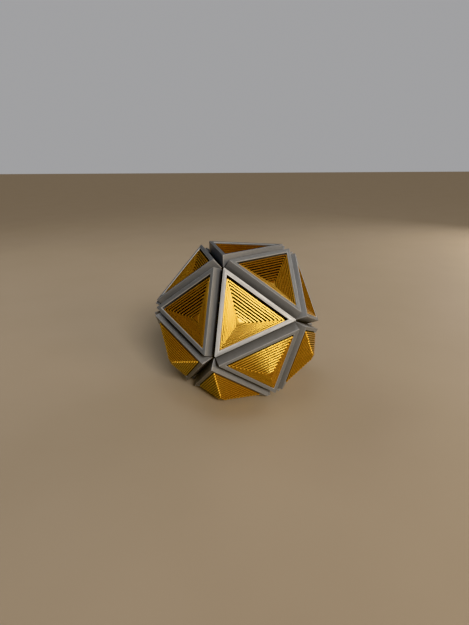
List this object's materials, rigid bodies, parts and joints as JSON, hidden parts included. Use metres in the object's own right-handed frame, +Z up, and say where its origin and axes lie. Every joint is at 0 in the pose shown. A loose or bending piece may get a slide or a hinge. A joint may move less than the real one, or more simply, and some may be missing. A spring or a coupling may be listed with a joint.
{
  "type": "icosahedral fidget puzzle",
  "caption": "Icosahedral fidget puzzle: triangular frames, each holding nested rings and a centre triangle that telescope in and out under gravity.",
  "frame": {"origin": "centre of the base frame's outer face, on the surface the ball rests on", "axes": "+Z up through the centre of the top frame; -Y towards one corner of the top frame"},
  "size_m": [0.1104, 0.1174, 0.1006],
  "materials": {
    "frame_grey": "satin dark grey printed plastic with fine layer lines",
    "ring_gold": "silk gold printed plastic with fine layer lines"
  },
  "bodies": {
    "frames": {"top_frame": "frame_grey", "crown_1_frame": "frame_grey", "crown_2_frame": "frame_grey", "crown_3_frame": "frame_grey", "upper_1_frame": "frame_grey", "upper_2_frame": "frame_grey", "upper_3_frame": "frame_grey", "upper_4_frame": "frame_grey", "upper_5_frame": "frame_grey", "upper_6_frame": "frame_grey", "lower_1_frame": "frame_grey", "lower_2_frame": "frame_grey", "lower_3_frame": "frame_grey", "lower_4_frame": "frame_grey", "lower_5_frame": "frame_grey", "lower_6_frame": "frame_grey", "foot_1_frame": "frame_grey", "foot_2_frame": "frame_grey", "foot_3_frame": "frame_grey", "base_frame": "frame_grey"},
    "top_outer_stage": {"top_outer_rings": "ring_gold"},
    "top_inner_stage": {"top_inner_rings": "ring_gold"},
    "crown_1_outer_stage": {"crown_1_outer_rings": "ring_gold"},
    "crown_1_inner_stage": {"crown_1_inner_rings": "ring_gold"},
    "crown_2_outer_stage": {"crown_2_outer_rings": "ring_gold"},
    "crown_2_inner_stage": {"crown_2_inner_rings": "ring_gold"},
    "crown_3_outer_stage": {"crown_3_outer_rings": "ring_gold"},
    "crown_3_inner_stage": {"crown_3_inner_rings": "ring_gold"},
    "upper_1_outer_stage": {"upper_1_outer_rings": "ring_gold"},
    "upper_1_inner_stage": {"upper_1_inner_rings": "ring_gold"},
    "upper_2_outer_stage": {"upper_2_outer_rings": "ring_gold"},
    "upper_2_inner_stage": {"upper_2_inner_rings": "ring_gold"},
    "upper_3_outer_stage": {"upper_3_outer_rings": "ring_gold"},
    "upper_3_inner_stage": {"upper_3_inner_rings": "ring_gold"},
    "upper_4_outer_stage": {"upper_4_outer_rings": "ring_gold"},
    "upper_4_inner_stage": {"upper_4_inner_rings": "ring_gold"},
    "upper_5_outer_stage": {"upper_5_outer_rings": "ring_gold"},
    "upper_5_inner_stage": {"upper_5_inner_rings": "ring_gold"},
    "upper_6_outer_stage": {"upper_6_outer_rings": "ring_gold"},
    "upper_6_inner_stage": {"upper_6_inner_rings": "ring_gold"},
    "lower_1_outer_stage": {"lower_1_outer_rings": "ring_gold"},
    "lower_1_inner_stage": {"lower_1_inner_rings": "ring_gold"},
    "lower_2_outer_stage": {"lower_2_outer_rings": "ring_gold"},
    "lower_2_inner_stage": {"lower_2_inner_rings": "ring_gold"},
    "lower_3_outer_stage": {"lower_3_outer_rings": "ring_gold"},
    "lower_3_inner_stage": {"lower_3_inner_rings": "ring_gold"},
    "lower_4_outer_stage": {"lower_4_outer_rings": "ring_gold"},
    "lower_4_inner_stage": {"lower_4_inner_rings": "ring_gold"},
    "lower_5_outer_stage": {"lower_5_outer_rings": "ring_gold"},
    "lower_5_inner_stage": {"lower_5_inner_rings": "ring_gold"},
    "lower_6_outer_stage": {"lower_6_outer_rings": "ring_gold"},
    "lower_6_inner_stage": {"lower_6_inner_rings": "ring_gold"},
    "foot_1_outer_stage": {"foot_1_outer_rings": "ring_gold"},
    "foot_1_inner_stage": {"foot_1_inner_rings": "ring_gold"},
    "foot_2_outer_stage": {"foot_2_outer_rings": "ring_gold"},
    "foot_2_inner_stage": {"foot_2_inner_rings": "ring_gold"},
    "foot_3_outer_stage": {"foot_3_outer_rings": "ring_gold"},
    "foot_3_inner_stage": {"foot_3_inner_rings": "ring_gold"},
    "base_outer_stage": {"base_outer_rings": "ring_gold"},
    "base_inner_stage": {"base_inner_rings": "ring_gold"}
  },
  "joints": [
    {"name": "top_outer_slide", "type": "slide", "parent": "frames", "child": "top_outer_stage", "axis": [0, 0, 1], "range_m": [0, 0.01008]},
    {"name": "top_inner_slide", "type": "slide", "parent": "top_outer_stage", "child": "top_inner_stage", "axis": [0, 0, 1], "range_m": [0, 0.01764]},
    {"name": "crown_1_outer_slide", "type": "slide", "parent": "frames", "child": "crown_1_outer_stage", "axis": [0.5774, -0.3333, 0.7454], "range_m": [0, 0.00728]},
    {"name": "crown_1_inner_slide", "type": "slide", "parent": "crown_1_outer_stage", "child": "crown_1_inner_stage", "axis": [0.5774, -0.3333, 0.7454], "range_m": [0, 0.01274]},
    {"name": "crown_2_outer_slide", "type": "slide", "parent": "frames", "child": "crown_2_outer_stage", "axis": [0, 0.6667, 0.7454], "range_m": [0, 0.00728]},
    {"name": "crown_2_inner_slide", "type": "slide", "parent": "crown_2_outer_stage", "child": "crown_2_inner_stage", "axis": [0, 0.6667, 0.7454], "range_m": [0, 0.01274]},
    {"name": "crown_3_outer_slide", "type": "slide", "parent": "frames", "child": "crown_3_outer_stage", "axis": [-0.5774, -0.3333, 0.7454], "range_m": [0, 0.00728]},
    {"name": "crown_3_inner_slide", "type": "slide", "parent": "crown_3_outer_stage", "child": "crown_3_inner_stage", "axis": [-0.5774, -0.3333, 0.7454], "range_m": [0, 0.01274]},
    {"name": "upper_1_outer_slide", "type": "slide", "parent": "frames", "child": "upper_1_outer_stage", "axis": [0.3568, -0.8727, 0.3333], "range_m": [0, 0.00666]},
    {"name": "upper_1_inner_slide", "type": "slide", "parent": "upper_1_outer_stage", "child": "upper_1_inner_stage", "axis": [0.3568, -0.8727, 0.3333], "range_m": [0, 0.01166]},
    {"name": "upper_2_outer_slide", "type": "slide", "parent": "frames", "child": "upper_2_outer_stage", "axis": [0.9342, 0.1273, 0.3333], "range_m": [0, 0.00666]},
    {"name": "upper_2_inner_slide", "type": "slide", "parent": "upper_2_outer_stage", "child": "upper_2_inner_stage", "axis": [0.9342, 0.1273, 0.3333], "range_m": [0, 0.01166]},
    {"name": "upper_3_outer_slide", "type": "slide", "parent": "frames", "child": "upper_3_outer_stage", "axis": [0.5774, 0.7454, 0.3333], "range_m": [0, 0.00666]},
    {"name": "upper_3_inner_slide", "type": "slide", "parent": "upper_3_outer_stage", "child": "upper_3_inner_stage", "axis": [0.5774, 0.7454, 0.3333], "range_m": [0, 0.01166]},
    {"name": "upper_4_outer_slide", "type": "slide", "parent": "frames", "child": "upper_4_outer_stage", "axis": [-0.5774, 0.7454, 0.3333], "range_m": [0, 0.00666]},
    {"name": "upper_4_inner_slide", "type": "slide", "parent": "upper_4_outer_stage", "child": "upper_4_inner_stage", "axis": [-0.5774, 0.7454, 0.3333], "range_m": [0, 0.01166]},
    {"name": "upper_5_outer_slide", "type": "slide", "parent": "frames", "child": "upper_5_outer_stage", "axis": [-0.9342, 0.1273, 0.3333], "range_m": [0, 0.00666]},
    {"name": "upper_5_inner_slide", "type": "slide", "parent": "upper_5_outer_stage", "child": "upper_5_inner_stage", "axis": [-0.9342, 0.1273, 0.3333], "range_m": [0, 0.01166]},
    {"name": "upper_6_outer_slide", "type": "slide", "parent": "frames", "child": "upper_6_outer_stage", "axis": [-0.3568, -0.8727, 0.3333], "range_m": [0, 0.00666]},
    {"name": "upper_6_inner_slide", "type": "slide", "parent": "upper_6_outer_stage", "child": "upper_6_inner_stage", "axis": [-0.3568, -0.8727, 0.3333], "range_m": [0, 0.01166]},
    {"name": "lower_1_outer_slide", "type": "slide", "parent": "frames", "child": "lower_1_outer_stage", "axis": [0.5774, -0.7454, -0.3333], "range_m": [-0.00841, 0]},
    {"name": "lower_1_inner_slide", "type": "slide", "parent": "lower_1_outer_stage", "child": "lower_1_inner_stage", "axis": [0.5774, -0.7454, -0.3333], "range_m": [-0.01471, 0]},
    {"name": "lower_2_outer_slide", "type": "slide", "parent": "frames", "child": "lower_2_outer_stage", "axis": [0.9342, -0.1273, -0.3333], "range_m": [-0.00841, 0]},
    {"name": "lower_2_inner_slide", "type": "slide", "parent": "lower_2_outer_stage", "child": "lower_2_inner_stage", "axis": [0.9342, -0.1273, -0.3333], "range_m": [-0.01471, 0]},
    {"name": "lower_3_outer_slide", "type": "slide", "parent": "frames", "child": "lower_3_outer_stage", "axis": [0.3568, 0.8727, -0.3333], "range_m": [-0.00841, 0]},
    {"name": "lower_3_inner_slide", "type": "slide", "parent": "lower_3_outer_stage", "child": "lower_3_inner_stage", "axis": [0.3568, 0.8727, -0.3333], "range_m": [-0.01471, 0]},
    {"name": "lower_4_outer_slide", "type": "slide", "parent": "frames", "child": "lower_4_outer_stage", "axis": [-0.3568, 0.8727, -0.3333], "range_m": [-0.00841, 0]},
    {"name": "lower_4_inner_slide", "type": "slide", "parent": "lower_4_outer_stage", "child": "lower_4_inner_stage", "axis": [-0.3568, 0.8727, -0.3333], "range_m": [-0.01471, 0]},
    {"name": "lower_5_outer_slide", "type": "slide", "parent": "frames", "child": "lower_5_outer_stage", "axis": [-0.9342, -0.1273, -0.3333], "range_m": [-0.00841, 0]},
    {"name": "lower_5_inner_slide", "type": "slide", "parent": "lower_5_outer_stage", "child": "lower_5_inner_stage", "axis": [-0.9342, -0.1273, -0.3333], "range_m": [-0.01471, 0]},
    {"name": "lower_6_outer_slide", "type": "slide", "parent": "frames", "child": "lower_6_outer_stage", "axis": [-0.5774, -0.7454, -0.3333], "range_m": [-0.00841, 0]},
    {"name": "lower_6_inner_slide", "type": "slide", "parent": "lower_6_outer_stage", "child": "lower_6_inner_stage", "axis": [-0.5774, -0.7454, -0.3333], "range_m": [-0.01471, 0]},
    {"name": "foot_1_outer_slide", "type": "slide", "parent": "frames", "child": "foot_1_outer_stage", "axis": [0, -0.6667, -0.7454], "range_m": [-0.00884, 0]},
    {"name": "foot_1_inner_slide", "type": "slide", "parent": "foot_1_outer_stage", "child": "foot_1_inner_stage", "axis": [0, -0.6667, -0.7454], "range_m": [-0.01548, 0]},
    {"name": "foot_2_outer_slide", "type": "slide", "parent": "frames", "child": "foot_2_outer_stage", "axis": [0.5774, 0.3333, -0.7454], "range_m": [-0.00884, 0]},
    {"name": "foot_2_inner_slide", "type": "slide", "parent": "foot_2_outer_stage", "child": "foot_2_inner_stage", "axis": [0.5774, 0.3333, -0.7454], "range_m": [-0.01548, 0]},
    {"name": "foot_3_outer_slide", "type": "slide", "parent": "frames", "child": "foot_3_outer_stage", "axis": [-0.5774, 0.3333, -0.7454], "range_m": [-0.00884, 0]},
    {"name": "foot_3_inner_slide", "type": "slide", "parent": "foot_3_outer_stage", "child": "foot_3_inner_stage", "axis": [-0.5774, 0.3333, -0.7454], "range_m": [-0.01548, 0]},
    {"name": "base_outer_slide", "type": "slide", "parent": "frames", "child": "base_outer_stage", "axis": [0, 0, -1], "range_m": [-0.00528, 0]},
    {"name": "base_inner_slide", "type": "slide", "parent": "base_outer_stage", "child": "base_inner_stage", "axis": [0, 0, -1], "range_m": [-0.00924, 0]}
  ]
}
